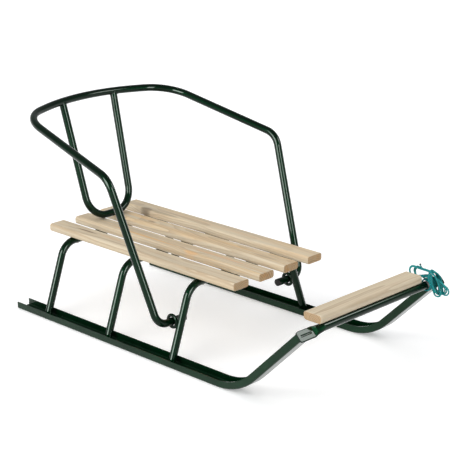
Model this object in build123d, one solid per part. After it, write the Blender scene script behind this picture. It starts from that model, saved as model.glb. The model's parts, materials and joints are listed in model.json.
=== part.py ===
from build123d import *
import math
import os

# Steel tube sled with wooden seat slats and a backrest that folds forward.
# Millimetres. +X runs forward to the upturned tips, +Y to the sled's left, +Z up.
# The origin is on the ground, midway along and across the sled.

os.makedirs("parts", exist_ok=True)

# ---- Stock ----
TUBE_D = 16.0                # round tube of the arches, crossbar and backrest
SLAT_W = 43.0                # wooden batten, used for the seat and the footrest
SLAT_T = 17.0
SLAT_EDGE_R = 5.8            # rounded long edges
SLAT_END_CHAMFER = 0.8
SEAT_GAP = 0.3               # clearance where a round tube and a batten or tube meet

# ---- Runners: channel, open side up ----
CHANNEL_W = 33.0
CHANNEL_H = 15.5
CHANNEL_SHEET = 2.0
CHANNEL_EDGE_R = 4.0         # outer bend of the sheet
RUNNER_GAUGE = 390.0         # centre to centre
RUNNER_FLAT = 675.0          # rear end to the point where floor line and upturn would meet
UPTURN_ANGLE = 44.0
UPTURN_LENGTH = 220.0        # that same point to the tip
UPTURN_R = 145.0             # underside radius of the bend

# ---- Arches: three tube hoops standing in the runners ----
ARCH_X = (88.0, 285.0, 478.0)      # from the rear end of the runners
ARCH_TOP_Z = 155.4                 # tube axis
ARCH_SHOULDER_IN = 52.7            # where leg and top would meet, inboard of the channel's middle
ARCH_R = 40.5

# ---- Seat ----
SEAT_START = 22.0                  # rear ends of the slats, from the rear of the runners
SEAT_LENGTH = 564.0
SEAT_OVERHANG = 15.0               # outer slat's edge beyond the straight top of the arches

# ---- Crossbar and footrest ----
TAB_T = 4.0                        # flattened ends of the crossbar
TAB_INBOARD = 7.5                  # flat part beyond the runner's inner side
TAB_CORNER_R = 6.0
TAB_FLARE = 20.0                   # from flat back to round
TAB_STEP = 4.0                     # the steep beginning of the flare
TAB_STEP_T = 10.0                  # tube's thickness at the end of that step
TAB_CREASE_R = 4.0                 # dent pressed along the middle of the flat
TAB_CREASE_DEPTH = 0.9
FOOTREST_LENGTH = 295.0
FOOTREST_TO_RIGHT = 12.5           # batten's middle, to the sled's right
FOOTREST_SETBACK = 16.5            # batten's middle behind the crossbar

# ---- Hinge of the backrest ----
RING_ROD_D = 7.0
RING_CLEARANCE = 0.8               # radial, round the tube that turns in it
HINGE_Z = 79.7
TAIL_PAST_RING = 31.0              # tube end beyond the ring's middle
PLUG_T = 2.5
PLUG_EDGE_R = 1.5

# ---- Backrest hoop: points where its straight runs would meet, from the runner's rear end ----
HOOP_FOOT_OUT = 38.5               # outside the ring's middle
HOOP_FOOT_R = 26.0
HOOP_SHOULDER_X = 354.6
HOOP_SHOULDER_Z = 369.4
HOOP_SHOULDER_R = 42.0
HOOP_CORNER_X = 55.8
HOOP_CORNER_R = 94.0
HOOP_REAR_X = -15.0                 # middle of the bowed top rail
HOOP_REAR_R = 400.0
ARMREST_RISE = 13.0                # degrees, rising to the rear
ARMREST_TAPER = 36.2               # each armrest's shift inwards from shoulder to corner
TOP_RAIL_DIP = 8.2                 # its middle below the armrests' plane
FOLD_CLEARANCE = 6.6               # sideways, where the armrests pass the runner tips

# ---- Inner loop of the backrest ----
LOOP_FOOT_X = 80.0
LOOP_FOOT_OUT = 2.5                # its bottom corners beyond the outer edges of the inner slats
LOOP_SPLAY = 12.7                  # each leg's shift outwards up to the top rail
LOOP_R = 50.0

# ---- Tow rope, tied up in a hank on the crossbar ----
ROPE_D = 3.0
HITCH_TURNS = 3
HITCH_GAP = 16.5                   # from the footrest's end to the first turn
HANK_OUTBOARD = 2.0                # hank's middle outboard of the turns' middle
HANK_STATIONS = (                  # ahead of the crossbar's front, above its top, width across, depth through
    (-47.5, 12.5, 12.0, 11.0),
    (-41.0, 14.0, 18.0, 19.0),
    (-27.0, 14.5, 20.0, 18.0),
    (-9.0, 14.5, 22.0, 17.0),
    (11.5, 8.5, 24.0, 18.0),
    (21.0, -7.5, 27.0, 34.0),
    (33.0, -12.0, 22.0, 21.0),
    (46.0, -11.0, 13.0, 11.0),
)


def pressed_width(thickness):
    """Width of the tube where it is pressed to a thickness: it keeps its girth."""
    return thickness + math.pi * (TUBE_D - thickness) / 2


# ---- Values that follow ----
TUBE_R = TUBE_D / 2
UP = math.radians(UPTURN_ANGLE)
UP_DIR = Vector(math.cos(UP), 0, math.sin(UP))          # along the upturned end
UP_NORMAL = Vector(-math.sin(UP), 0, math.cos(UP))      # from its sole to its open side
OUTER_Y = RUNNER_GAUGE / 2 + CHANNEL_W / 2              # outer sides of the runners

TROUGH_MID_Z = (CHANNEL_SHEET + CHANNEL_H) / 2           # each leg is centred in its channel here
ARCH_SHOULDER_Y = RUNNER_GAUGE / 2 - ARCH_SHOULDER_IN
LEG_ANGLE = math.atan2(ARCH_SHOULDER_IN, ARCH_TOP_Z - TROUGH_MID_Z)     # from upright
ARCH_FLAT_HALF = ARCH_SHOULDER_Y - ARCH_R * math.tan((math.pi / 2 - LEG_ANGLE) / 2)

SEAT_SLATS = ("seat_slat_right_outer", "seat_slat_right_inner",
              "seat_slat_left_inner", "seat_slat_left_outer")
SEAT_PITCH = (2 * (ARCH_FLAT_HALF + SEAT_OVERHANG) - SLAT_W) / (len(SEAT_SLATS) - 1)
SEAT_UNDER_Z = ARCH_TOP_Z + TUBE_R + SEAT_GAP
SEAT_TOP_Z = SEAT_UNDER_Z + SLAT_T

RING_HOLE_R = TUBE_R + RING_CLEARANCE
RING_OUTER_R = RING_HOLE_R + RING_ROD_D
HINGE_X = ARCH_X[-1] - TUBE_R - SEAT_GAP - RING_OUTER_R
RING_Y = RUNNER_GAUGE / 2 - math.tan(LEG_ANGLE) * (HINGE_Z - TROUGH_MID_Z)
TAIL_Y = RING_Y - TAIL_PAST_RING

SOLE_TIP = Vector(RUNNER_FLAT, 0, 0) + UP_DIR * UPTURN_LENGTH
CROSSBAR_AXIS = SOLE_TIP + UP_NORMAL * (CHANNEL_H / 2) + UP_DIR * TUBE_R     # flat back on the tips
TAB_W = pressed_width(TAB_T)
TAB_LENGTH = CHANNEL_W + TAB_INBOARD
TAB_INNER_Y = OUTER_Y - TAB_LENGTH
ROUND_HALF = TAB_INNER_Y - TAB_FLARE

LOOP_FOOT_Y = SEAT_PITCH / 2 + SLAT_W / 2 + LOOP_FOOT_OUT
LOOP_TOP_Y = LOOP_FOOT_Y + LOOP_SPLAY

HITCH_LENGTH = HITCH_TURNS * ROPE_D
HITCH_Y = FOOTREST_LENGTH / 2 - FOOTREST_TO_RIGHT + HITCH_GAP + HITCH_LENGTH / 2
HANK_Y = HITCH_Y + HANK_OUTBOARD


def armrest_z(x):
    """Height of the armrests' plane at a distance x from the runner's rear end."""
    return HOOP_SHOULDER_Z + math.tan(math.radians(ARMREST_RISE)) * (HOOP_SHOULDER_X - x)


def armrest_share_at_tips():
    """Share of the way from shoulder to corner at which an armrest passes the tips as it folds."""
    hinge = Vector(HINGE_X, 0, HINGE_Z)
    tip = CROSSBAR_AXIS + UP_NORMAL * (TAB_W / 2)
    shoulder = Vector(HOOP_SHOULDER_X, 0, HOOP_SHOULDER_Z) - hinge
    corner = Vector(HOOP_CORNER_X, 0, armrest_z(HOOP_CORNER_X)) - hinge
    run = corner - shoulder
    half_b = shoulder.dot(run)
    excess = (tip - hinge).length ** 2 - shoulder.length ** 2
    return (math.sqrt(half_b ** 2 + run.length ** 2 * excess) - half_b) / run.length ** 2


PASSING_Y = OUTER_Y + FOLD_CLEARANCE + TUBE_R            # armrest axis where it passes the tips
PASSING_SHARE = armrest_share_at_tips()
HOOP_SHOULDER_Y = PASSING_Y + PASSING_SHARE * ARMREST_TAPER
HOOP_CORNER_Y = HOOP_SHOULDER_Y - ARMREST_TAPER


made = {}


def keep(name, solid):
    """Add a finished piece, still measured from the rear end of the runners."""
    made[name] = solid


def round_bar(path, radius=TUBE_R):
    """A round bar along a path."""
    start = Plane(origin=path @ 0, z_dir=path % 0)
    return sweep(start * Circle(radius), path=path)


def mirrored_points(points):
    """Points given from one end to the middle, carried on to the other side of the sled."""
    other = [(x, -y, z) for x, y, z in reversed(points) if abs(y) > 1e-9]
    return list(points) + other


# ---- Runners ----
def runner(side):
    y = side * RUNNER_GAUGE / 2
    rear = Vector(0, y, 0)
    knee = Vector(RUNNER_FLAT, y, 0)
    tip = knee + UP_DIR * UPTURN_LENGTH
    sole = FilletPolyline(rear, knee, tip, radius=UPTURN_R)
    outside = Pos(0, CHANNEL_H / 2) * Rectangle(CHANNEL_W, CHANNEL_H)
    outside = fillet(outside.vertices().group_by(Axis.Y)[0], CHANNEL_EDGE_R)
    trough = Pos(0, CHANNEL_SHEET + CHANNEL_H / 2) * Rectangle(CHANNEL_W - 2 * CHANNEL_SHEET, CHANNEL_H)
    trough = fillet(trough.vertices().group_by(Axis.Y)[0], CHANNEL_EDGE_R - CHANNEL_SHEET)
    section = Plane(origin=rear, x_dir=(0, 1, 0), z_dir=(1, 0, 0)) * (outside - trough)
    return sweep(section, path=sole)


# ---- Arches ----
def arch(x):
    """An arch with its feet cut level, and trimmed where the channel's inside is too narrow for them."""
    shoulder = Vector(x, ARCH_SHOULDER_Y, ARCH_TOP_Z)
    centred = Vector(x, RUNNER_GAUGE / 2, TROUGH_MID_Z)
    below = centred + (centred - shoulder).normalized() * (TROUGH_MID_Z + TUBE_D)
    points = mirrored_points([tuple(below), tuple(shoulder)])
    bar = round_bar(FilletPolyline(*points, radius=ARCH_R))
    bar = split(bar, bisect_by=Plane.XY.offset(CHANNEL_SHEET), keep=Keep.TOP)
    return bar - [made["runner_right"], made["runner_left"]]


# ---- Battens ----
def batten(length):
    """A batten along X, its underside on the XY plane, with rounded long edges."""
    board = Pos(0, 0, SLAT_T / 2) * Box(length, SLAT_W, SLAT_T)
    board = fillet(board.edges().filter_by(Axis.X), SLAT_EDGE_R)
    ends = board.faces().filter_by(Axis.X).edges()
    return chamfer(ends, SLAT_END_CHAMFER)


# ---- Crossbar: round tube with flattened ends that cap the runner tips ----
def crossbar():
    bar = Pos(*CROSSBAR_AXIS) * Rot(90, 0, 0) * Cylinder(TUBE_R, 2 * ROUND_HALF)
    for side in (-1, 1):
        bar += crossbar_end(side)
    return bar


def crossbar_end(side):
    def pressed(y, thickness):
        """Section of the tube where it is pressed flat from the front, its back kept in line."""
        at = Vector(CROSSBAR_AXIS.X, side * y, CROSSBAR_AXIS.Z)
        plane = Plane(origin=at, x_dir=UP_NORMAL, z_dir=(0, side, 0))
        slot = SlotOverall(pressed_width(thickness), thickness)
        return plane * Pos(0, side * (thickness / 2 - TUBE_R)) * slot

    def front(y):
        """Plane of the tab's front face, looking along the upturned end."""
        at = Vector(CROSSBAR_AXIS.X, side * y, CROSSBAR_AXIS.Z) + UP_DIR * (TAB_T - TUBE_R)
        return Plane(origin=at, x_dir=(0, -side, 0), z_dir=UP_DIR)

    section = Plane(origin=(CROSSBAR_AXIS.X, side * ROUND_HALF, CROSSBAR_AXIS.Z),
                    x_dir=UP_NORMAL, z_dir=(0, side, 0)) * Circle(TUBE_R)
    step_y = TAB_INNER_Y - TAB_STEP
    flare = loft([section, pressed(step_y, TAB_STEP_T)])
    step = loft([pressed(step_y, TAB_STEP_T), pressed(TAB_INNER_Y, TAB_T)])
    tab = extrude(pressed(TAB_INNER_Y, TAB_T), TAB_LENGTH)
    outline = front(OUTER_Y) * (Pos(TAB_LENGTH / 2, 0) * RectangleRounded(TAB_LENGTH, TAB_W, TAB_CORNER_R))
    square_off = front(OUTER_Y) * (Pos(TAB_LENGTH, 0) * Rectangle(TAB_LENGTH, TAB_W))
    tab &= extrude(outline + square_off, TAB_T, both=True)
    crease = front(OUTER_Y - TAB_LENGTH / 2) * Pos(0, 0, TAB_CREASE_R - TAB_CREASE_DEPTH)
    crease *= Rot(0, 90, 0) * Cylinder(TAB_CREASE_R, TAB_LENGTH - 2 * TAB_CORNER_R)
    return flare + step + tab - crease


# ---- Hinge ring, bent from rod and welded behind the front arch's leg ----
def hinge_ring(side):
    centre = Plane(origin=(HINGE_X, side * RING_Y, HINGE_Z), z_dir=(0, 1, 0))
    return centre * Torus(RING_HOLE_R + RING_ROD_D / 2, RING_ROD_D / 2)


# ---- Backrest ----
def hoop_path():
    points = mirrored_points([
        (HINGE_X, -TAIL_Y, HINGE_Z),
        (HINGE_X, -(RING_Y + HOOP_FOOT_OUT), HINGE_Z),
        (HOOP_SHOULDER_X, -HOOP_SHOULDER_Y, HOOP_SHOULDER_Z),
        (HOOP_CORNER_X, -HOOP_CORNER_Y, armrest_z(HOOP_CORNER_X)),
        (HOOP_REAR_X, 0, armrest_z(HOOP_REAR_X) - TOP_RAIL_DIP),
    ])
    near_radii = [HOOP_FOOT_R, HOOP_SHOULDER_R, HOOP_CORNER_R]
    return FilletPolyline(*points, radius=near_radii + [HOOP_REAR_R] + near_radii[::-1])


def rail_point(y):
    """Point on the hoop's axis where the top rail crosses a given y."""
    hits = hoop_path().intersect(Plane.XZ.offset(-y))
    return max(hits.vertices(), key=lambda v: v.Z)


def backrest_loop():
    top = rail_point(LOOP_TOP_Y)
    foot_z = SEAT_TOP_Z + SEAT_GAP + TUBE_R
    points = mirrored_points([
        (top.X, -LOOP_TOP_Y, top.Z),
        (LOOP_FOOT_X, -LOOP_FOOT_Y, foot_z),
    ])
    loop = round_bar(FilletPolyline(*points, radius=LOOP_R))
    saddle = round_bar(hoop_path(), TUBE_R + SEAT_GAP)
    return loop - saddle


def hoop_plug(side):
    seat = Plane(origin=(HINGE_X, side * TAIL_Y, HINGE_Z), z_dir=(0, -side, 0))
    disc = extrude(Circle(TUBE_R), PLUG_T)
    disc = fillet(disc.faces().sort_by(Axis.Z)[-1].edges(), PLUG_EDGE_R)
    return seat * disc


# ---- Tow rope ----
def rope_hitch():
    """The turns' outer shape; they lie where the crossbar has begun to flatten."""
    share = (HITCH_Y + HITCH_LENGTH / 2 - ROUND_HALF) / (TAB_FLARE - TAB_STEP)
    thickness = TUBE_D - share * (TUBE_D - TAB_STEP_T)
    half_slot = (pressed_width(thickness) - thickness) / 2
    inner = math.hypot(TUBE_R - thickness / 2, half_slot) + thickness / 2 + SEAT_GAP
    centre = Pos(CROSSBAR_AXIS.X, HITCH_Y, CROSSBAR_AXIS.Z) * Rot(90, 0, 0)
    return centre * (Cylinder(inner + ROPE_D, HITCH_LENGTH) - Cylinder(inner, HITCH_LENGTH))


def rope_hank():
    """Closed outer shape of the hank: laid over the crossbar's end, its loops reaching back and ahead."""
    corner = CROSSBAR_AXIS + Vector(TUBE_R, HANK_Y, TUBE_R)
    middle = [corner + Vector(ahead, 0, above) for ahead, above, _, _ in HANK_STATIONS]
    line = Spline(*middle)
    sections = []
    for at, (_, _, width, depth) in zip(middle, HANK_STATIONS):
        along = line % line.param_at_point(at)
        sections.append(Plane(origin=at, x_dir=(0, 1, 0), z_dir=along) * Ellipse(width / 2, depth / 2))
    return loft(sections)


keep("runner_right", runner(-1))
keep("runner_left", runner(1))
for name, x in zip(("arch_rear", "arch_middle", "arch_front"), ARCH_X):
    keep(name, arch(x))

seat_x = SEAT_START + SEAT_LENGTH / 2
for index, name in enumerate(SEAT_SLATS):
    y = (index - (len(SEAT_SLATS) - 1) / 2) * SEAT_PITCH
    keep(name, Pos(seat_x, y, SEAT_UNDER_Z) * batten(SEAT_LENGTH))

keep("crossbar", crossbar())
footrest_z = CROSSBAR_AXIS.Z + TUBE_R + SEAT_GAP
footrest_at = Pos(CROSSBAR_AXIS.X - FOOTREST_SETBACK, -FOOTREST_TO_RIGHT, footrest_z)
keep("footrest_slat", footrest_at * Rot(0, 0, 90) * batten(FOOTREST_LENGTH))

for side, hand in ((-1, "right"), (1, "left")):
    keep("hinge_ring_" + hand, hinge_ring(side))
    keep("hoop_plug_" + hand, hoop_plug(side))

keep("backrest_hoop", round_bar(hoop_path()))
keep("backrest_loop", backrest_loop())
keep("tow_rope_hitch", rope_hitch())
keep("tow_rope_hank", rope_hank())

# The origin goes midway between the rearmost and the foremost metal.
metal = [made[name].bounding_box() for name in ("runner_right", "backrest_hoop", "crossbar")]
origin_x = (min(box.min.X for box in metal) + max(box.max.X for box in metal)) / 2
for name, solid in made.items():
    piece = Pos(-origin_x, 0, 0) * solid
    piece.label = name
    export_step(piece, os.path.join("parts", name + ".step"))
    box = piece.bounding_box()
    print(f"{name:24s} volume {piece.volume / 1000:9.2f} cm3  "
          f"x {box.min.X:8.2f} {box.max.X:8.2f}  y {box.min.Y:8.2f} {box.max.Y:8.2f}  "
          f"z {box.min.Z:7.2f} {box.max.Z:7.2f}")
print("hinge at", round(HINGE_X - origin_x, 3), round(RING_Y, 3), HINGE_Z)
print("rear end of the runners at", round(-origin_x, 3))
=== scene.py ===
import json
import math
import random

import bmesh
import bpy
from mathutils import Matrix, Vector
from mathutils.bvhtree import BVHTree

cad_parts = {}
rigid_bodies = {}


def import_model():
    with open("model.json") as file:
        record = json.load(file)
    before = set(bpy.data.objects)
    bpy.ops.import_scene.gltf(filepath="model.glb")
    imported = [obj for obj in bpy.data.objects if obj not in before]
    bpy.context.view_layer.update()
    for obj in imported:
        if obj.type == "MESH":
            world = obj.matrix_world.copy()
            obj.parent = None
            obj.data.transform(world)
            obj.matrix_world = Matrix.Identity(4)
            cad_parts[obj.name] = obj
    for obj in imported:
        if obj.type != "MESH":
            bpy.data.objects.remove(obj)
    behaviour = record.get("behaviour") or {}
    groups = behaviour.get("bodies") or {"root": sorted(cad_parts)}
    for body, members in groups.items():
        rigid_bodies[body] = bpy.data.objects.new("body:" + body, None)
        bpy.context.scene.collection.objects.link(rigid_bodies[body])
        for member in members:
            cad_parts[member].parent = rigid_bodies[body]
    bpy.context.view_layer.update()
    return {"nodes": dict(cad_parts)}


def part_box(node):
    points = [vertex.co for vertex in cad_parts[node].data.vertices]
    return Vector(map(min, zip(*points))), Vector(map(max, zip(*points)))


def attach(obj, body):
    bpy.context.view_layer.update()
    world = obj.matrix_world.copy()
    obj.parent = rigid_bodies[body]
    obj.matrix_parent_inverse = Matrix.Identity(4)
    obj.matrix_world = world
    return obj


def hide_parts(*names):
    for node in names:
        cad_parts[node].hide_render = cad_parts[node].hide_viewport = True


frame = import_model()

# Everything is in metres, in the sled's own frame: +X forward, +Y to its left, +Z up.
MM = 0.001
NODES = frame["nodes"]


def middle(node):
    """The middle of a CAD node's box."""
    low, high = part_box(node)
    return (low + high) / 2


TUBE_R = (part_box("arch_rear")[1].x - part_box("arch_rear")[0].x) / 2
CROSSBAR = middle("tow_rope_hitch")                 # its y is the middle of the rope's turns
SEAT_SLATS = ("seat_slat_right_outer", "seat_slat_right_inner",
              "seat_slat_left_inner", "seat_slat_left_outer")
ARCHES = ("arch_rear", "arch_middle", "arch_front")
SIDES = (-1, 1)                                     # right, left


# ---------------------------------------------------------------- camera, light and floor
VIEW_AZIMUTH = math.radians(44.93)
VIEW_ELEVATION = math.radians(17.85)
VIEW_ROLL = math.radians(-0.70)
VIEW_DISTANCE = 3.0132
VIEW_TARGET = Vector((0.0264, 0.0, 0.2308))
VIEW_LENS = 115.97
VIEW_FAR = 200.0                                    # nothing beyond this is drawn

SUNS = {
    # name: (bearing it shines from, height above the floor and width, in degrees, strength);
    # gloss doesn't show them
    "left_bank": (262.0, 30.0, 50.0, 1.60),
    "ceiling_bank": (200.0, 78.0, 90.0, 1.15),
    "right_bank": (345.0, 26.0, 50.0, 0.45),
}
STRIPS = {
    # name: (bearing in degrees, distance, height of its middle, width, length, power);
    # only gloss shows them
    "left_strip": (268.0, 3.2, 1.30, 1.90, 2.0, 240.0),
    "right_strip": (352.0, 3.2, 1.10, 1.05, 1.7, 115.0),
    "tip_panel": (41.4, 1.23, 1.15, 0.50, 0.50, 10.0),
}
SKY_COLOUR = (0.95, 0.97, 1.0, 1.0)
SKY_STRENGTH = 0.30
FLOOR_DROP = 0.3 * MM                               # how far the floor lies below the soles
FLOOR_FLAT = 3.0                                    # radius of its middle disc
FLOOR_FADE = (6.0, 12.0)                            # distances over which the floor turns into cove
FLOOR_LIFT = 0.30                                   # extra white of the floor where it is looked at
BACKDROP_RADIUS = 22.0
BACKDROP_COVE = 2.0                                 # radius of the curve at its edge
BACKDROP_HEIGHT = 2.4
BACKDROP_SIDES = 96
COVE_STEPS = 12


def make_camera():
    """The camera, turned a little about its own axis."""
    right = Vector((math.cos(VIEW_AZIMUTH), math.sin(VIEW_AZIMUTH), 0))
    level = math.cos(VIEW_ELEVATION)
    back = Vector((math.sin(VIEW_AZIMUTH) * level, -math.cos(VIEW_AZIMUTH) * level,
                   math.sin(VIEW_ELEVATION)))
    up = back.cross(right)
    rolled_right = math.cos(VIEW_ROLL) * right + math.sin(VIEW_ROLL) * up
    rolled_up = math.cos(VIEW_ROLL) * up - math.sin(VIEW_ROLL) * right
    turn = Matrix((rolled_right, rolled_up, back)).transposed()
    data = bpy.data.cameras.new("camera")
    data.lens = VIEW_LENS
    data.clip_end = VIEW_FAR
    camera = bpy.data.objects.new("camera", data)
    camera.matrix_world = Matrix.Translation(VIEW_TARGET + back * VIEW_DISTANCE) @ turn.to_4x4()
    bpy.context.collection.objects.link(camera)
    bpy.context.scene.camera = camera


def add_lamp(name, kind, power, source, place=None):
    """A lamp that shines from the direction of source towards the sled."""
    data = bpy.data.lights.new(name, kind)
    data.energy = power
    lamp = bpy.data.objects.new(name, data)
    lamp.rotation_mode = "QUATERNION"
    lamp.rotation_quaternion = source.to_track_quat("Z", "Y")
    if place:
        lamp.location = place
    bpy.context.collection.objects.link(lamp)
    return lamp


def make_lamps():
    """Suns for the plain light, and panels for what gloss shows."""
    for name, (bearing, height, width, strength) in SUNS.items():
        b, h = math.radians(bearing), math.radians(height)
        source = Vector((math.cos(b) * math.cos(h), math.sin(b) * math.cos(h), math.sin(h)))
        lamp = add_lamp(name, "SUN", strength, source)
        lamp.data.angle = math.radians(width)
        lamp.visible_glossy = False
    for name, (bearing, distance, height, width, length, power) in STRIPS.items():
        b = math.radians(bearing)
        place = Vector((distance * math.cos(b), distance * math.sin(b), height))
        lamp = add_lamp(name, "AREA", power, place - VIEW_TARGET, place)
        lamp.data.shape = "RECTANGLE"
        lamp.data.size, lamp.data.size_y = width, length
        lamp.visible_diffuse = False
        lamp.visible_camera = False


def make_sky():
    """Even pale light from all round; the white background is the cove's."""
    world = bpy.data.worlds.new("studio")
    world.use_nodes = True
    background = world.node_tree.nodes["Background"]
    background.inputs["Color"].default_value = SKY_COLOUR
    background.inputs["Strength"].default_value = SKY_STRENGTH
    bpy.context.scene.world = world


# ---------------------------------------------------------------- shader toolkit
class Link:
    """One output of a material's nodes. Arithmetic on it adds Math nodes."""

    def __init__(self, paint, socket):
        self.paint = paint
        self.socket = socket

    def math(self, operation, *others):
        """A Math node with this output first."""
        values = dict(enumerate((self,) + others))
        return self.paint.node("Math", {"operation": operation}, values)

    def __add__(self, other):
        return self.math("ADD", other)

    def __sub__(self, other):
        return self.math("SUBTRACT", other)

    def __rsub__(self, other):
        return self.paint.node("Math", {"operation": "SUBTRACT"}, {0: other, 1: self})

    def __mul__(self, other):
        return self.math("MULTIPLY", other)

    def __truediv__(self, other):
        return self.math("DIVIDE", other)

    def __pow__(self, other):
        return self.math("POWER", other)

    __radd__ = __add__
    __rmul__ = __mul__


class Paint:
    """A material in the making: a Principled shader and the nodes that feed it."""

    def __init__(self, name):
        self.material = bpy.data.materials.new(name)
        self.material.use_nodes = True
        self.tree = self.material.node_tree
        self.shader = self.tree.nodes["Principled BSDF"]

    def node(self, kind, settings=None, sockets=None, output=0):
        """Adds a node: its settings first, then values or links on its sockets."""
        made = self.tree.nodes.new("ShaderNode" + kind)
        for name, value in (settings or {}).items():
            setattr(made, name, value)
        for key, value in (sockets or {}).items():
            if isinstance(value, Link):
                self.tree.links.new(value.socket, made.inputs[key])
            else:
                made.inputs[key].default_value = value
        return Link(self, made.outputs[output])

    def spot(self):
        """The piece's own coordinates, as one vector."""
        return self.node("TexCoord", {}, {}, "Object")

    def place(self):
        """The piece's own coordinates, as x, y and z."""
        spot = self.spot()
        return [self.node("SeparateXYZ", {}, {0: spot}, axis) for axis in "XYZ"]

    def point(self, x, y, z):
        """Three values as one vector."""
        return self.node("CombineXYZ", {}, {0: x, 1: y, 2: z})

    def noise(self, where, scale, detail, roughness=0.5):
        """Smooth noise about 0.5, with scale waves to one unit of where."""
        return self.node("TexNoise", {}, {"Vector": where, "Scale": scale, "Detail": detail,
                                          "Roughness": roughness})

    def spread(self, value, low, high, to_low=0.0, to_high=1.0):
        """value, from low..high to to_low..to_high, held at both ends."""
        return self.node("MapRange", {}, {"Value": value, "From Min": low, "From Max": high,
                                          "To Min": to_low, "To Max": to_high})

    def mix(self, share, first, second, blend="MIX"):
        """A colour between two colours."""
        def rgba(shade):
            return shade if isinstance(shade, Link) else (*shade, 1.0)
        return self.node("Mix", {"data_type": "RGBA", "blend_type": blend},
                         {0: share, 6: rgba(first), 7: rgba(second)}, 2)

    def bump(self, height, distance, strength):
        """A normal for the shader; distance is how high a height of one stands."""
        return self.node("Bump", {}, {"Height": height, "Distance": distance, "Strength": strength})

    def set(self, **values):
        """Sets the shader's sockets, named with underscores for spaces."""
        for key, value in values.items():
            socket = self.shader.inputs[key.replace("_", " ").title().replace("Ior", "IOR")]
            if isinstance(value, Link):
                self.tree.links.new(value.socket, socket)
            elif isinstance(value, tuple):
                socket.default_value = (*value, 1.0)
            else:
                socket.default_value = value
        return self.material


# ---------------------------------------------------------------- finishes
FULL_WHITE = (1.0, 1.0, 1.0, 1.0)
BACKDROP_PAINT = (0.9, 0.9, 0.9, 1.0)

ENAMEL_THIN = 1.5                                   # how much paler the enamel is where it lies thin
ENAMEL_FLAKE = (0.003, 0.120, 0.036)
ENAMEL_DUST = (0.10, 0.13, 0.10)

PALE_WOOD = (0.70, 0.595, 0.435)
HONEY_WOOD = (0.70, 0.475, 0.225)
RESIN_WOOD = (0.74, 0.450, 0.185)
GREY_WOOD = (0.455, 0.395, 0.315)
LATE_WOOD = (0.430, 0.300, 0.175)                   # the dark part of each year's ring
KNOT_WOOD = (0.200, 0.130, 0.080)
DARK_FIBRE = (0.46, 0.36, 0.25)
PALE_FIBRE = (0.84, 0.76, 0.62)
SAWN_TINT = (0.74, 0.56, 0.38)                      # what end grain is darkened by
SAWN_LATE = (0.30, 0.19, 0.10)
PITH_DRIFT = 18 * MM                                # how far the pith line wanders, across and up
PITH_RISE = 22 * MM
GRAIN_BEND = 3 * MM                                 # how far fine grain bends a ring
MARK_BEND = 0.7                                     # how far a mark bends it, in the mark's widths
MARK_REACH = 6.0                                    # where that ends: squared, in the mark's sizes
MARK_RAGGED = 4 * MM                                # how uneven a mark's edge is

PLUG_BLACKS = (0.008, 0.008, 0.009), (0.018, 0.019, 0.020)

ROPE_TEALS = (0.003, 0.310, 0.320), (0.010, 0.480, 0.450)
# painted sheen: a paler teal laid on random patches of the film ribbons
ROPE_PAINTED_SHEEN = (0.10, 0.68, 0.63)
# painted shade: the colour laid down between the strands, where shade falls
ROPE_PAINTED_SHADE = (0.000, 0.080, 0.100)                  # down between the strands

ZINC_GREYS = (0.50, 0.50, 0.47), (0.66, 0.66, 0.62)


def backdrop_finish():
    """White floor and cove: plain to light, lifted to white where it is seen or mirrored."""
    paint = Paint("backdrop_white")
    camera, glossy, through = [paint.node("LightPath", {}, {}, ray) for ray in
                               ("Is Camera Ray", "Is Glossy Ray", "Is Transmission Ray")]
    seen = camera.math("MAXIMUM", glossy).math("MAXIMUM", through)
    plain = paint.node("BsdfDiffuse", {}, {"Color": BACKDROP_PAINT})
    lift = paint.node("Emission", {}, {"Color": FULL_WHITE, "Strength": FLOOR_LIFT})
    lifted = paint.node("AddShader", {}, {0: plain, 1: lift})
    floor = paint.node("MixShader", {}, {0: seen, 1: plain, 2: lifted})
    white = paint.node("Emission", {}, {"Color": FULL_WHITE, "Strength": 1.0})
    cove = paint.node("MixShader", {}, {0: seen, 1: plain, 2: white})
    x, y, _ = paint.place()
    distance = (x * x + y * y) ** 0.5
    both = paint.node("MixShader", {}, {0: paint.spread(distance, *FLOOR_FADE), 1: floor, 2: cove})
    paint.tree.links.new(both.socket, paint.tree.nodes["Material Output"].inputs["Surface"])
    return paint.material


def enamel(name, gloss, deep, dust):
    """Dark green enamel with a little flake in it, over steel.

    gloss is its roughness below the clear coat, deep its colour, and dust how much lies on it."""
    paint = Paint(name)
    spot = paint.spot()
    x, y, z = paint.place()
    cloud = paint.noise(spot, 9.0, 3.0)
    flake = paint.noise(spot, 1400.0, 1.0)
    peel = paint.noise(spot, 260.0, 2.0)
    sag = paint.noise(paint.point(x * 0.6, y * 0.6, z * 0.2), 60.0, 1.0)
    thin = tuple(channel * ENAMEL_THIN for channel in deep)
    shade = paint.mix(paint.spread(cloud, 0.35, 0.65), deep, thin)
    shade = paint.mix(paint.spread(flake, 0.60, 0.75) * 0.25, shade, ENAMEL_FLAKE)
    speck = paint.spread(paint.noise(spot, 520.0, 1.0), 0.74, 0.80)
    roughness = gloss + 0.10 * paint.spread(cloud, 0.4, 0.8) + 0.25 * speck
    if dust:
        film = paint.spread(paint.noise(spot, 35.0, 4.0, 0.65), 0.45, 0.75) * dust
        shade = paint.mix(film, shade, ENAMEL_DUST)
        roughness = roughness + film * 0.5
    height = peel * 0.5 + sag * 0.5 + speck * 1.5
    return paint.set(base_color=shade, roughness=roughness, metallic=0.6, specular_ior_level=0.0,
                     coat_weight=1.0, coat_roughness=0.06, coat_ior=1.27,
                     normal=paint.bump(height, 0.12 * MM, 0.5))


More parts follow.
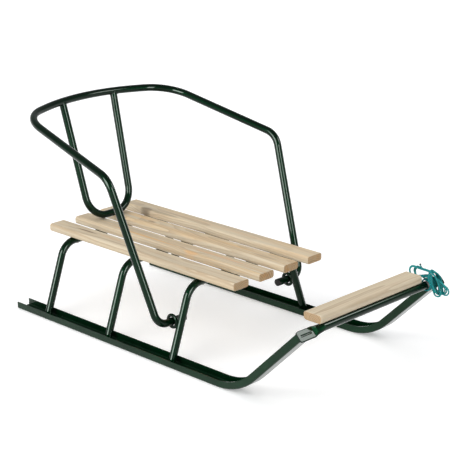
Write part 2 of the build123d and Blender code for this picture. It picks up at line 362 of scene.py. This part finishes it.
def softwood(node, along, pith, honey, grey, ring, climb, marks):
    """Planed softwood batten: growth rings about a pith line, so that faces and ends agree.

    along is the axis that the grain follows. pith is where the rings' middle lies, across the
    batten and up, from its own middle; climb is how fast that line rises along the batten.
    honey and grey are how warm and how weathered it is, and ring is a year's growth.
    A mark is a knot or stain: (along, across, half length, half width, shade, share)."""
    paint = Paint("softwood_" + node)
    home = middle(node)
    x, y, z = paint.place()
    length, across = (x - home.x, y - home.y) if along == "X" else (y - home.y, x - home.x)
    up = z - home.z
    own = pith[0] * 900 + pith[1] * 1300              # sets each batten's noise apart
    drift = paint.noise(paint.point(length * 2.3, own, 1.0), 1.0, 2.0)
    rise = paint.noise(paint.point(length * 3.1, own, 7.3), 1.0, 3.0)
    grain = paint.noise(paint.point(length * 9.0, across * 60, up * 60), 1.0, 2.0)
    from_pith_a = across - pith[0] + (drift - 0.5) * PITH_DRIFT
    from_pith_b = up - pith[1] - length * climb + (rise - 0.5) * PITH_RISE
    bend = (grain - 0.5) * GRAIN_BEND
    patches = []
    for at, side, long, wide, tint, share in marks:
        ahead = (length - at) / long
        beside = (across - side + (grain - 0.5) * MARK_RAGGED) / wide
        near = ahead * ahead + beside * beside
        patches.append((near, tint, share))
        bend = bend + MARK_BEND * wide * paint.spread(near, 0.0, MARK_REACH, 1.0, 0.0)
    radius = (from_pith_a * from_pith_a + from_pith_b * from_pith_b) ** 0.5 + bend
    age = radius / ring                               # in years
    year = age.math("FRACT")
    late = paint.spread(year, 0.35, 0.90) * paint.spread(year, 1.0, 0.93)
    season = paint.noise(paint.point(age.math("FLOOR") * 3.7, own, 2.0), 1.0, 1.0)
    late = late * paint.spread(season, 0.35, 0.60, 0.35, 1.0)
    fibre = paint.noise(paint.point(length * 14.0, across * 900, up * 900), 1.0, 3.0, 0.6)
    streak = paint.noise(paint.point(length * 2.4, across * 120 + own, up * 120), 1.0, 3.0, 0.65)
    resin = paint.noise(paint.point(length * 3.1 + own, across * 55, up * 55), 1.0, 2.0)
    weather = paint.noise(paint.point(length * 4.7, across * 75, up * 75 + own), 1.0, 3.0, 0.6)
    shade = paint.mix(paint.spread(streak, 0.44, 0.62) * honey, PALE_WOOD, HONEY_WOOD)
    shade = paint.mix(paint.spread(resin, 0.52, 0.66) * (0.8 * honey), shade, RESIN_WOOD)
    shade = paint.mix(paint.spread(weather, 0.50, 0.66) * grey, shade, GREY_WOOD)
    shade = paint.mix(late * 0.58, shade, LATE_WOOD)
    shade = paint.mix(paint.spread(fibre, 0.52, 0.80) * 0.25, shade, DARK_FIBRE)
    shade = paint.mix(paint.spread(fibre, 0.20, 0.42, 1.0, 0.0) * 0.25, shade, PALE_FIBRE)
    for near, tint, share in patches:
        shade = paint.mix(paint.spread(near, 0.35, 1.25, 1.0, 0.0) * share, shade, tint)
    facing = paint.node("NewGeometry", {}, {}, "True Normal")
    sideways = paint.node("SeparateXYZ", {}, {0: facing}, along).math("ABSOLUTE")
    sawn = paint.spread(sideways, 0.75, 0.95)
    shade = paint.mix(sawn, shade, paint.mix(0.75, shade, SAWN_TINT, "MULTIPLY"))
    shade = paint.mix(sawn * late * 0.45, shade, SAWN_LATE)
    roughness = 0.48 + 0.12 * paint.spread(fibre, 0.4, 0.7) + 0.25 * sawn
    height = fibre * 0.6 + late * 0.5 + sawn * paint.noise(paint.spot(), 2400.0, 1.0)
    return paint.set(base_color=shade, roughness=roughness, specular_ior_level=0.2,
                     normal=paint.bump(height, 0.18 * MM, 0.6))


def plug_plastic():
    """Black moulded polyethylene with a fine spark-eroded skin."""
    paint = Paint("plug_black_plastic")
    spot = paint.spot()
    skin = paint.noise(spot, 2600.0, 2.0)
    cloud = paint.noise(spot, 120.0, 2.0)
    shade = paint.mix(paint.spread(cloud, 0.3, 0.7), *PLUG_BLACKS)
    return paint.set(base_color=shade, roughness=0.42 + 0.15 * paint.spread(skin, 0.3, 0.7),
                     specular_ior_level=0.2, normal=paint.bump(skin, 0.10 * MM, 0.5))


def rope_fibre():
    """Teal polypropylene cord: film ribbons with paler patches as painted sheen, and painted shade down
    in the lay between the strands.
    """
    paint = Paint("teal_rope_fibre")
    crown = paint.node("Attribute", {"attribute_name": "crown"}, {}, "Fac")
    along = paint.node("Attribute", {"attribute_name": "along"}, {}, "Fac")
    ribbon = paint.noise(paint.spot(), 2200.0, 2.0)
    batch = paint.noise(paint.point(along * 30.0, 3.0, 1.0), 1.0, 3.0)
    shade = paint.mix(paint.spread(batch, 0.35, 0.65), *ROPE_TEALS)
    # paler patches on the film ribbons: painted sheen
    shade = paint.mix(paint.spread(ribbon, 0.55, 0.80) * 0.5, shade, ROPE_PAINTED_SHEEN)
    # painted shade in the lay: darker where a strand's crown falls away
    shade = paint.mix((1 - crown) * 0.75, shade, ROPE_PAINTED_SHADE)
    return paint.set(base_color=shade, roughness=0.50 + 0.15 * paint.spread(ribbon, 0.3, 0.7),
                     specular_ior_level=0.2, normal=paint.bump(ribbon, 0.20 * MM, 0.6))


def zinc_plate():
    """Bright zinc-plated steel of the screws."""
    paint = Paint("zinc_plated_screw")
    cloud = paint.noise(paint.spot(), 600.0, 3.0)
    shade = paint.mix(paint.spread(cloud, 0.35, 0.65), *ZINC_GREYS)
    return paint.set(base_color=shade, metallic=1.0, roughness=0.28 + 0.2 * cloud,
                     normal=paint.bump(cloud, 0.05 * MM, 0.4))


def give(node, material):
    """Assigns a finish to every slot of a CAD node."""
    piece = NODES[node]
    if not piece.material_slots:
        piece.data.materials.append(material)
    for slot in piece.material_slots:
        slot.material = material


# ---------------------------------------------------------------- making pieces
def new_piece(name, mesh, material, body="frame"):
    """An object in the scene. With no body, it isn't part of the sled."""
    piece = bpy.data.objects.new(name, mesh)
    bpy.context.collection.objects.link(piece)
    mesh.materials.append(material)
    if body:
        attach(piece, body)
    return piece


def shade_smooth(mesh):
    """Shades every face of a mesh smooth."""
    for face in mesh.polygons:
        face.use_smooth = True


def make_backdrop():
    """A round floor that curves up into a low wall."""
    profile = [(0.0, 0.0), (FLOOR_FLAT, 0.0), (BACKDROP_RADIUS - BACKDROP_COVE, 0.0)]
    for step in range(1, COVE_STEPS + 1):
        turn = math.pi / 2 * step / COVE_STEPS
        profile.append((BACKDROP_RADIUS - BACKDROP_COVE * (1 - math.sin(turn)),
                        BACKDROP_COVE * (1 - math.cos(turn))))
    profile.append((BACKDROP_RADIUS, BACKDROP_HEIGHT))
    shape = bmesh.new()
    rim = [shape.verts.new((r, 0.0, z - FLOOR_DROP)) for r, z in profile]
    edges = [shape.edges.new(pair) for pair in zip(rim, rim[1:])]
    bmesh.ops.spin(shape, geom=rim + edges, axis=(0, 0, 1), cent=(0, 0, 0), steps=BACKDROP_SIDES,
                   angle=2 * math.pi, use_duplicate=False)
    bmesh.ops.remove_doubles(shape, verts=shape.verts, dist=1e-5)
    bmesh.ops.recalc_face_normals(shape, faces=shape.faces)
    mesh = bpy.data.meshes.new("backdrop")
    shape.to_mesh(mesh)
    shape.free()
    shade_smooth(mesh)
    backdrop = new_piece("backdrop", mesh, backdrop_finish(), body=None)


# ---------------------------------------------------------------- geometry node tools
RIPPLE_WOBBLE = (0.82, 1.12)                        # least and greatest share of the bead's width
RIPPLE_OVERLAP = 2.6                                # a ripple's length, in pitches
RIPPLE_ROUND = 2                                    # subdivisions of its ball

HEAD_SIDES = 24
HEAD_RINGS = ((3.6, 0.6), (3.6, -0.3), (3.3, -1.1), (2.5, -1.7))     # radius and height, mm
RECESS_DEPTHS = (-1.75, -0.5)                       # its mouth and its bottom, mm
RECESS_ARM, RECESS_WAIST = 1.9, 0.8                 # radii of the cross, mm
HEAD_SUNK = 0.25 * MM                               # how far a head's seat lies inside the tube
FOOTREST_SCREW_Y = 105 * MM

FOOT_HEIGHT = 4 * MM                                # what of an arch counts as its foot
FOOT_POINTS = 30
FOOT_BEAD_OUT = 0.6 * MM                            # the bead's middle, outside the tube
FOOT_BEAD_Z = 2.6 * MM

LOOP_RUN = Vector((-0.25, 0, 0.968))                # the way the back loop's legs run
LOOP_TOP_FROM = 0.40                                # height above which its tops lie
SEAM_REACH = 0.6 * MM                               # vertices this near the other tube are the seam
SEAM_POINTS = 28
LEVEL_LEG = 1e-6                                    # shorter than this, a point has no bearing


class Recipe:
    """A Geometry Nodes tree built line by line, with named inputs."""

    def __init__(self, name):
        self.tree = bpy.data.node_groups.new(name, "GeometryNodeTree")
        face = self.tree.interface
        face.new_socket("Geometry", in_out="INPUT", socket_type="NodeSocketGeometry")
        face.new_socket("Geometry", in_out="OUTPUT", socket_type="NodeSocketGeometry")
        self.inlet = self.tree.nodes.new("NodeGroupInput")
        self.outlet = self.tree.nodes.new("NodeGroupOutput")
        self.ids = {}

    def size(self, name, kind="Float"):
        """A named input."""
        socket = self.tree.interface.new_socket(name, in_out="INPUT", socket_type="NodeSocket" + kind)
        self.ids[name] = socket.identifier
        return next(s for s in self.inlet.outputs if s.identifier == socket.identifier)

    def node(self, kind, settings=None, sockets=None):
        """Adds a node: its settings first, then values or links on its sockets."""
        made = self.tree.nodes.new(kind)
        for name, value in (settings or {}).items():
            setattr(made, name, value)
        for key, value in (sockets or {}).items():
            if isinstance(value, bpy.types.NodeSocket):
                self.tree.links.new(value, made.inputs[key])
            else:
                made.inputs[key].default_value = value
        return made

    def finish(self, geometry, material):
        """Ends the tree: instances made real, and the finish set."""
        real = self.node("GeometryNodeRealizeInstances", {}, {0: geometry})
        painted = self.node("GeometryNodeSetMaterial", {}, {0: real.outputs[0], 2: material})
        self.tree.links.new(painted.outputs[0], self.outlet.inputs[0])

    def apply(self, name, start, values, body="frame"):
        """Runs the tree on a starting mesh and keeps the result as a plain piece."""
        piece = bpy.data.objects.new(name, start)
        bpy.context.collection.objects.link(piece)
        modifier = piece.modifiers.new(name, "NODES")
        modifier.node_group = self.tree
        for key, value in values.items():
            modifier[self.ids[key]] = value
        bpy.context.view_layer.update()
        evaluated = piece.evaluated_get(bpy.context.evaluated_depsgraph_get())
        mesh = bpy.data.meshes.new_from_object(evaluated)
        piece.modifiers.clear()
        piece.data = mesh
        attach(piece, body)


def weld_recipe():
    """Overlapping ripples laid along each line of the starting mesh."""
    recipe = Recipe("weld_ripples")
    width = recipe.size("Bead Width")
    pitch = recipe.size("Ripple Pitch")
    seed = recipe.size("Seed", "Int")
    material = recipe.size("Finish", "Material")
    curve = recipe.node("GeometryNodeMeshToCurve", {}, {0: recipe.inlet.outputs[0]})
    points = recipe.node("GeometryNodeResampleCurve", {"mode": "LENGTH"},
                         {0: curve.outputs[0], "Length": pitch})
    tangent = recipe.node("GeometryNodeInputTangent")
    turn = recipe.node("FunctionNodeAlignRotationToVector", {"axis": "Z"},
                       {"Vector": tangent.outputs[0]})
    ball = recipe.node("GeometryNodeMeshIcoSphere", {},
                       {"Radius": 0.5, "Subdivisions": RIPPLE_ROUND})
    wobble = recipe.node("FunctionNodeRandomValue", {"data_type": "FLOAT"},
                         {2: RIPPLE_WOBBLE[0], 3: RIPPLE_WOBBLE[1], "Seed": seed})
    breadth = recipe.node("ShaderNodeMath", {"operation": "MULTIPLY"},
                          {0: width, 1: wobble.outputs[1]})
    depth = recipe.node("ShaderNodeMath", {"operation": "MULTIPLY"}, {0: pitch, 1: RIPPLE_OVERLAP})
    size = recipe.node("ShaderNodeCombineXYZ", {},
                       {0: breadth.outputs[0], 1: breadth.outputs[0], 2: depth.outputs[0]})
    laid = recipe.node("GeometryNodeInstanceOnPoints", {}, {
        "Points": points.outputs[0], "Instance": ball.outputs[0],
        "Rotation": turn.outputs[0], "Scale": size.outputs[0]})
    smooth = recipe.node("GeometryNodeSetShadeSmooth", {}, {0: laid.outputs[0]})
    recipe.finish(smooth.outputs[0], material)
    return recipe


def screw_recipe():
    """One screw head at each point of the starting mesh."""
    recipe = Recipe("screw_heads")
    head = recipe.size("Head", "Object")
    seed = recipe.size("Seed", "Int")
    material = recipe.size("Finish", "Material")
    shape = recipe.node("GeometryNodeObjectInfo", {}, {0: head})
    spin = recipe.node("FunctionNodeRandomValue", {"data_type": "FLOAT"},
                       {2: 0.0, 3: 6.28, "Seed": seed})
    turn = recipe.node("ShaderNodeCombineXYZ", {}, {2: spin.outputs[1]})
    laid = recipe.node("GeometryNodeInstanceOnPoints", {}, {
        "Points": recipe.inlet.outputs[0], "Instance": shape.outputs["Geometry"],
        "Rotation": turn.outputs[0]})
    recipe.finish(laid.outputs[0], material)
    return recipe


def screw_head():
    """A pan head with a cross recess, facing down from its origin."""
    def on_ring(radius, corner, height):
        angle = 2 * math.pi * corner / HEAD_SIDES
        return radius * math.cos(angle) * MM, radius * math.sin(angle) * MM, height * MM

    points = [on_ring(radius, i, height) for radius, height in HEAD_RINGS for i in range(HEAD_SIDES)]
    for depth in RECESS_DEPTHS:
        points += [on_ring(RECESS_ARM if i % 6 in (0, 1) else RECESS_WAIST, i - 0.5, depth)
                   for i in range(HEAD_SIDES)]
    walls = len(HEAD_RINGS) + len(RECESS_DEPTHS) - 1
    faces = [tuple(range(HEAD_SIDES))]
    for ring in range(walls):
        for i in range(HEAD_SIDES):
            near, ahead = ring * HEAD_SIDES + i, ring * HEAD_SIDES + (i + 1) % HEAD_SIDES
            faces.append((ahead, near, near + HEAD_SIDES, ahead + HEAD_SIDES))
    faces.append(tuple(walls * HEAD_SIDES + i for i in range(HEAD_SIDES))[::-1])
    mesh = bpy.data.meshes.new("screw_head")
    mesh.from_pydata(points, [], faces)
    return mesh


def add_screws():
    """Heads under each arch below every slat, and under the crossbar below the footrest."""
    def under(tube):
        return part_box(tube)[1].z - 2 * TUBE_R + HEAD_SUNK

    spots = [(middle(arch).x, middle(slat).y, under(arch)) for arch in ARCHES for slat in SEAT_SLATS]
    spots += [(CROSSBAR.x, middle("footrest_slat").y + side * FOOTREST_SCREW_Y, under("crossbar"))
              for side in SIDES]
    mesh = bpy.data.meshes.new("screw_spots")
    mesh.from_pydata(spots, [], [])
    head = bpy.data.objects.new("screw_head", screw_head())
    bpy.context.collection.objects.link(head)
    screw_recipe().apply("batten_screws", mesh, {"Head": head, "Seed": 3, "Finish": zinc_plate()})
    bpy.data.objects.remove(head)


def add_welds(material):
    """Beads round the arches' feet and round the back loop's tops."""
    recipe = weld_recipe()
    feet = [foot_ring(arch, side) for arch in ARCHES for side in SIDES]
    recipe.apply("arch_foot_welds", line_mesh("arch_foot_lines", feet),
                 {"Bead Width": 4.2 * MM, "Ripple Pitch": 1.5 * MM, "Seed": 1, "Finish": material})
    tops = [seam_ring("backrest_loop", "backrest_hoop", LOOP_RUN,
                      lambda co, s=side: co.y * s > 0 and co.z > LOOP_TOP_FROM) for side in SIDES]
    recipe.apply("back_loop_welds", line_mesh("back_loop_lines", tops),
                 {"Bead Width": 3.2 * MM, "Ripple Pitch": 1.3 * MM, "Seed": 2, "Finish": material},
                 body="backrest")


def line_mesh(name, loops):
    """A mesh of bare closed lines."""
    points, edges = [], []
    for loop in loops:
        first = len(points)
        points += [tuple(p) for p in loop]
        edges += [(first + i, first + i + 1) for i in range(len(loop) - 1)]
        edges.append((len(points) - 1, first))
    mesh = bpy.data.meshes.new(name)
    mesh.from_pydata(points, edges, [])
    return mesh


def foot_ring(arch, side):
    """The closed line of the bead round one foot of an arch."""
    ends = [v.co for v in NODES[arch].data.vertices if v.co.y * side > 0 and v.co.z < FOOT_HEIGHT]
    low = Vector((min(p.x for p in ends), min(p.y for p in ends)))
    high = Vector((max(p.x for p in ends), max(p.y for p in ends)))
    centre, half = (low + high) / 2, (high - low) / 2
    loop = []
    for step in range(FOOT_POINTS):
        angle = 2 * math.pi * step / FOOT_POINTS
        loop.append(Vector((centre.x + (half.x + FOOT_BEAD_OUT) * math.cos(angle),
                            centre.y + (half.y + FOOT_BEAD_OUT) * math.sin(angle), FOOT_BEAD_Z)))
    return loop


def surface_of(node):
    """A CAD node's surface, to measure distances to."""
    mesh = NODES[node].data
    return BVHTree.FromPolygons([v.co for v in mesh.vertices], [tuple(f.vertices) for f in mesh.polygons])


def seam_ring(node, other, axis, wanted):
    """The closed line where one tube meets another piece, ordered about an axis."""
    surface = surface_of(other)
    near = []
    for vertex in NODES[node].data.vertices:
        if not wanted(vertex.co):
            continue
        place, _, _, far = surface.find_nearest(vertex.co)
        if place is not None and far < SEAM_REACH:
            near.append(vertex.co.copy())
    centre = sum(near, Vector()) / len(near)
    axis = axis.normalized()
    across = axis.orthogonal().normalized()
    other_way = axis.cross(across)

    def outwards(point):
        """A seam point's offset from the axis."""
        leg = point - centre
        return leg - leg.dot(axis) * axis

    loop = []
    for step in range(SEAM_POINTS):
        angle = 2 * math.pi * step / SEAM_POINTS
        ray = math.cos(angle) * across + math.sin(angle) * other_way

        def offside(point):
            flat = outwards(point)
            return math.degrees(flat.angle(ray)) if flat.length > LEVEL_LEG else 180.0
        best = min(near, key=offside)
        loop.append(centre + ray * outwards(best).length + axis * (best - centre).dot(axis))
    return loop


# ---------------------------------------------------------------- tow rope
ROPE_D = 3.4 * MM
ROPE_STEP = 1.1 * MM                                 # between the rings of its mesh
ROPE_LAY = 11.0 * MM                                 # in which a strand goes once round
ROPE_SIDES = 15
STRAND_R = 0.27 * ROPE_D
STRAND_OUT = 0.235 * ROPE_D                          # each strand's middle, from the rope's
MELTED_R = 0.56 * ROPE_D
ROUTE_STEPS = 8                                      # points of the smooth line per control point

# Lengths from here on are millimetres from CROSSBAR. The smooth line cuts its control points'
# corners, so rounds are drawn a little large.
HITCH_TURNS = 3
TURN_POINTS = 14
HITCH_START = math.radians(120)
HITCH_R = 10.6
HITCH_GROWTH = 1.1                                   # of the radius, from the first turn to the last
HITCH_HALF = 3.1                                     # half the width of the turns
HITCH_SWELL = 1.02
FOLD_SWELL = 1.05
FOLD_POINTS = 6
FOLD_DRIFT = 1.6                                     # across, over one fold
REAR_FOLD = (21.8, 9.4)                              # above the crossbar's axis, radius
# Where each long loop folds at the front: ahead of the crossbar's axis, above it, radius, heading
FRONT_FOLDS = (
    (44.0, -1.5, 9.2, -14.0),
    (26.0, -8.0, 9.4, -76.0),
    (39.0, 0.0, 9.4, -22.0),
    (30.0, -4.5, 9.6, -52.0),
    (35.0, -1.0, 9.4, -32.0),
)
FAR_FOLD = 30                                        # a fold further ahead comes back lower
LANES = (-2.0, -6.5, 2.0, 6.0, 9.5)                  # each loop's place across, from the turns' middle
REAR_ENDS = (-33.0, -32.0, -19.5, -32.5, -22.0)      # where its rear fold is, from the crossbar's axis
SLANT = Vector((-0.72, 1.0, -0.34))                  # how a loop's place across also shifts it
TO_LOOPS = (-12, 2.0, 14.0)                          # from the turns to the first loop
UNDER_RUN_Z = 14.2
OVER_RUN_Z = 29.5
OVER_RUN = ((4, OVER_RUN_Z), (14, 27), (23, 19.5))   # ahead and up, from the rear fold to the front
LOW_RETURN = (26, -6.0)
TO_WRAPS = (20.5, 12.5, -4.5)                        # from the last loop to the wraps
WRAPS = 3.29                                         # turns round the bundle
WRAP_START = math.radians(-15)
WRAP_LEAN = math.radians(-20)                        # of the bundle where it is tied
WRAP_MIDDLE = (17.5, 1.5, 10.5)
WRAP_BACK = -2.0                                     # where the first wrap lies along the bundle
WRAP_PITCH = 3.5
WRAP_WIDE, WRAP_HIGH = 14.2, 22.5                    # the wraps' half width and half height
LOOSE = 0.5                                          # how far a laid point strays
FREE_END = ((15, -5, 32.5), (7, -6.0, 33.5), (-2, -4.0, 33.0),
            (-11, 0, 31.4), (-16.5, 2.5, 32.4), (-19.0, 3.5, 37.3))


def rope_route():
    """Control points of the rope, in the frame: three turns round the crossbar, a bundle of long
    loops laid over it, turns round the bundle, and the free end."""
    dice = random.Random(11)
    loose = dice.uniform
    route = []

    def at(x, y, z):
        route.append(CROSSBAR + Vector((x, y, z)) * MM)

    def laid(lane, x, z):
        """A point of a loop, shifted with the loop's place across."""
        at(x + SLANT.x * lane + loose(-LOOSE, LOOSE), lane + loose(-LOOSE, LOOSE),
           z + SLANT.z * lane + loose(-LOOSE, LOOSE))

    def fold(lane, x, z, radius, start):
        """Half a turn of a loop, backwards from an angle in degrees."""
        for step in range(FOLD_POINTS):
            share = step / (FOLD_POINTS - 1)
            angle = math.radians(start - 180 * share)
            at(x + FOLD_SWELL * radius * math.cos(angle) + SLANT.x * lane, lane + FOLD_DRIFT * share,
               z + FOLD_SWELL * radius * math.sin(angle) + SLANT.z * lane)

    steps = HITCH_TURNS * TURN_POINTS
    for step in range(steps + 1):
        share = step / steps
        angle = 2 * math.pi * step / TURN_POINTS + HITCH_START
        radius = HITCH_SWELL * (HITCH_R + HITCH_GROWTH * share)
        at(radius * math.cos(angle), -HITCH_HALF + 2 * HITCH_HALF * share, radius * math.sin(angle))
    at(*TO_LOOPS)
    back_z, back_r = REAR_FOLD
    for lane, after, back_x, front in zip(LANES, LANES[1:] + (None,), REAR_ENDS, FRONT_FOLDS):
        fold_x, fold_z, radius, heading = front
        laid(lane, (back_x - 8) / 2, UNDER_RUN_Z)
        fold(lane, back_x + loose(-0.8, 0.8), back_z + loose(-0.8, 0.6), back_r + loose(-0.5, 0.2), -90)
        laid(lane, (back_x + 2) / 2, OVER_RUN_Z)
        for x, z in OVER_RUN:
            laid(lane, x, z)
        fold(lane, fold_x, fold_z, radius, heading + 90)
        if after is None:
            at(*TO_WRAPS)
            continue
        if fold_x > FAR_FOLD:
            laid(lane, *LOW_RETURN)
        # down behind the fold, and across to the next loop
        shift = after - lane
        at(17.5 + loose(-0.3, 0.6), lane + 1.0, 2.5)
        at(15.5, lane + 0.8, 11.5)
        at(7.0, lane + 0.30 * shift, 18.5)
        at(-6.0, lane + 0.75 * shift, 17.4)
    mid_x, mid_y, mid_z = WRAP_MIDDLE
    for step in range(round(WRAPS * TURN_POINTS) + 1):
        angle = WRAP_START + 2 * math.pi * step / TURN_POINTS
        ahead = WRAP_BACK + WRAP_PITCH * step / TURN_POINTS
        high = WRAP_HIGH * math.sin(angle)
        at(mid_x + ahead * math.cos(WRAP_LEAN) + high * math.sin(WRAP_LEAN),
           mid_y + WRAP_WIDE * math.cos(angle),
           mid_z + ahead * math.sin(WRAP_LEAN) + high * math.cos(WRAP_LEAN))
    for place in FREE_END:
        at(*place)
    return route


def route_line(route):
    """Points along the smooth line of a route."""
    curve = bpy.data.curves.new("tow_rope_route", "CURVE")
    curve.dimensions = "3D"
    spline = curve.splines.new("NURBS")
    spline.points.add(len(route) - 1)
    for point, place in zip(spline.points, route):
        point.co = (*place, 1.0)
    spline.order_u = 3
    spline.use_endpoint_u = True
    spline.resolution_u = ROUTE_STEPS
    holder = bpy.data.objects.new("tow_rope_route", curve)
    bpy.context.collection.objects.link(holder)
    mesh = bpy.data.meshes.new_from_object(holder)
    line = [v.co.copy() for v in mesh.vertices]
    bpy.data.meshes.remove(mesh)
    bpy.data.objects.remove(holder)
    bpy.data.curves.remove(curve)
    return line


def evenly(line, step):
    """The same line with points a fixed step apart."""
    out, spare = [line[0].copy()], step
    for a, b in zip(line, line[1:]):
        span = (b - a).length
        while span >= spare:
            a = a.lerp(b, spare / span)
            out.append(a.copy())
            span = (b - a).length
            spare = step
        spare -= span
    return out


def rope_mesh(line):
    """The skin of a three-strand laid rope along a line."""
    points, faces, crown, along = [], [], [], []
    ahead = (line[1] - line[0]).normalized()
    side = ahead.orthogonal().normalized()
    third = 2 * math.pi / 3
    for index, place in enumerate(line):
        after = line[min(index + 1, len(line) - 1)]
        before = line[max(index - 1, 0)]
        now = (after - before).normalized()
        side = (side - side.dot(now) * now).normalized()
        up = now.cross(side)
        turn = 2 * math.pi * index * ROPE_STEP / ROPE_LAY
        for corner in range(ROPE_SIDES):
            angle = 2 * math.pi * corner / ROPE_SIDES
            lobe = math.cos(1.5 * ((angle % third) - third / 2))
            inside = STRAND_R ** 2 - (STRAND_OUT * (1 - lobe * lobe)) ** 2
            radius = STRAND_OUT * lobe + math.sqrt(max(inside, 0.0))
            points.append(place + radius * (math.cos(angle + turn) * side + math.sin(angle + turn) * up))
            # crown is 1 on a strand's crown and 0 down in the lay; the shader paints shade where it is
            # low
            crown.append(max(0.0, min(1.0, (lobe - 0.5) * 2)))
            along.append(index * ROPE_STEP)
    rings = len(line)
    for ring in range(rings - 1):
        for corner in range(ROPE_SIDES):
            a = ring * ROPE_SIDES + corner
            b = ring * ROPE_SIDES + (corner + 1) % ROPE_SIDES
            faces.append((a, b, b + ROPE_SIDES, a + ROPE_SIDES))
    faces.append(tuple(range(ROPE_SIDES))[::-1])
    faces.append(tuple(range((rings - 1) * ROPE_SIDES, rings * ROPE_SIDES)))
    mesh = bpy.data.meshes.new("tow_rope")
    mesh.from_pydata(points, [], faces)
    for name, values in (("crown", crown), ("along", along)):
        mesh.attributes.new(name, "FLOAT", "POINT").data.foreach_set("value", values)
    for face in mesh.polygons:
        face.use_smooth = len(face.vertices) == 4
    return mesh


def make_rope():
    """The tow rope along its route, and the blob that its free end is melted into."""
    line = evenly(route_line(rope_route()), ROPE_STEP)
    rope = new_piece("tow_rope", rope_mesh(line), rope_fibre())
    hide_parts("tow_rope_hitch", "tow_rope_hank")
    blob = bpy.data.meshes.new("tow_rope_melted_end")
    shape = bmesh.new()
    bmesh.ops.create_icosphere(shape, subdivisions=3, radius=MELTED_R)
    bmesh.ops.translate(shape, verts=shape.verts, vec=line[-1])
    shape.to_mesh(blob)
    shape.free()
    shade_smooth(blob)
    end = new_piece("tow_rope_melted_end", blob, plug_plastic())


# ---------------------------------------------------------------- build
bpy.context.scene.view_settings.view_transform = "Standard"
make_camera()
make_lamps()
make_sky()
make_backdrop()
make_rope()

tube_enamel = enamel("green_enamel_tube", gloss=0.36, deep=(0.0003, 0.0085, 0.0027), dust=0.0)
runner_enamel = enamel("green_enamel_runner", gloss=0.45, deep=(0.0006, 0.0160, 0.0048), dust=0.04)
for node in ARCHES + ("crossbar", "backrest_hoop", "backrest_loop"):
    give(node, tube_enamel)
for hand in ("right", "left"):
    give("hinge_ring_" + hand, tube_enamel)
    give("runner_" + hand, runner_enamel)
    give("hoop_plug_" + hand, plug_plastic())

BATTENS = {
    # node: (grain axis, pith, honey, grey, ring, climb, marks)
    "seat_slat_right_outer": ("X", (0.012, -0.030), 0.20, 0.14, 4.4 * MM, 0.010, (
        (-0.183, 0.001, 0.034, 0.0030, KNOT_WOOD, 0.80),
        (-0.222, -0.004, 0.020, 0.0020, GREY_WOOD, 0.60),
        (-0.105, 0.004, 0.040, 0.0045, (0.76, 0.48, 0.25), 0.45),
        (-0.060, -0.010, 0.080, 0.0035, (0.50, 0.38, 0.26), 0.45))),
    "seat_slat_right_inner": ("X", (-0.034, -0.012), 0.65, 0.30, 4.8 * MM, -0.012, (
        (0.085, -0.016, 0.022, 0.0060, (0.78, 0.45, 0.20), 0.60),
        (-0.060, -0.011, 0.120, 0.0035, (0.78, 0.44, 0.17), 0.55),
        (0.150, 0.004, 0.090, 0.0040, (0.74, 0.43, 0.22), 0.50),
        (-0.150, 0.007, 0.110, 0.0060, GREY_WOOD, 0.40))),
    "seat_slat_left_inner": ("X", (0.010, -0.016), 0.50, 0.22, 4.2 * MM, 0.055, (
        (-0.175, 0.005, 0.060, 0.0060, (0.80, 0.52, 0.24), 0.55),
        (-0.130, -0.003, 0.012, 0.0035, (0.36, 0.25, 0.15), 0.70),
        (0.215, -0.006, 0.035, 0.0045, (0.42, 0.31, 0.20), 0.50))),
    "seat_slat_left_outer": ("X", (-0.008, -0.045), 0.34, 0.32, 5.0 * MM, -0.020, (
        (-0.208, -0.017, 0.018, 0.0080, (0.24, 0.18, 0.12), 0.75),
        (-0.160, -0.016, 0.060, 0.0045, (0.33, 0.26, 0.18), 0.55),
        (0.020, 0.010, 0.150, 0.0050, GREY_WOOD, 0.35))),
    "footrest_slat": ("Y", (0.004, -0.004), 0.08, 0.02, 3.4 * MM, 0.0, (
        (0.060, 0.010, 0.050, 0.0030, (0.60, 0.45, 0.30), 0.40),)),
}
for node, values in BATTENS.items():
    give(node, softwood(node, *values))

add_welds(tube_enamel)
add_screws()
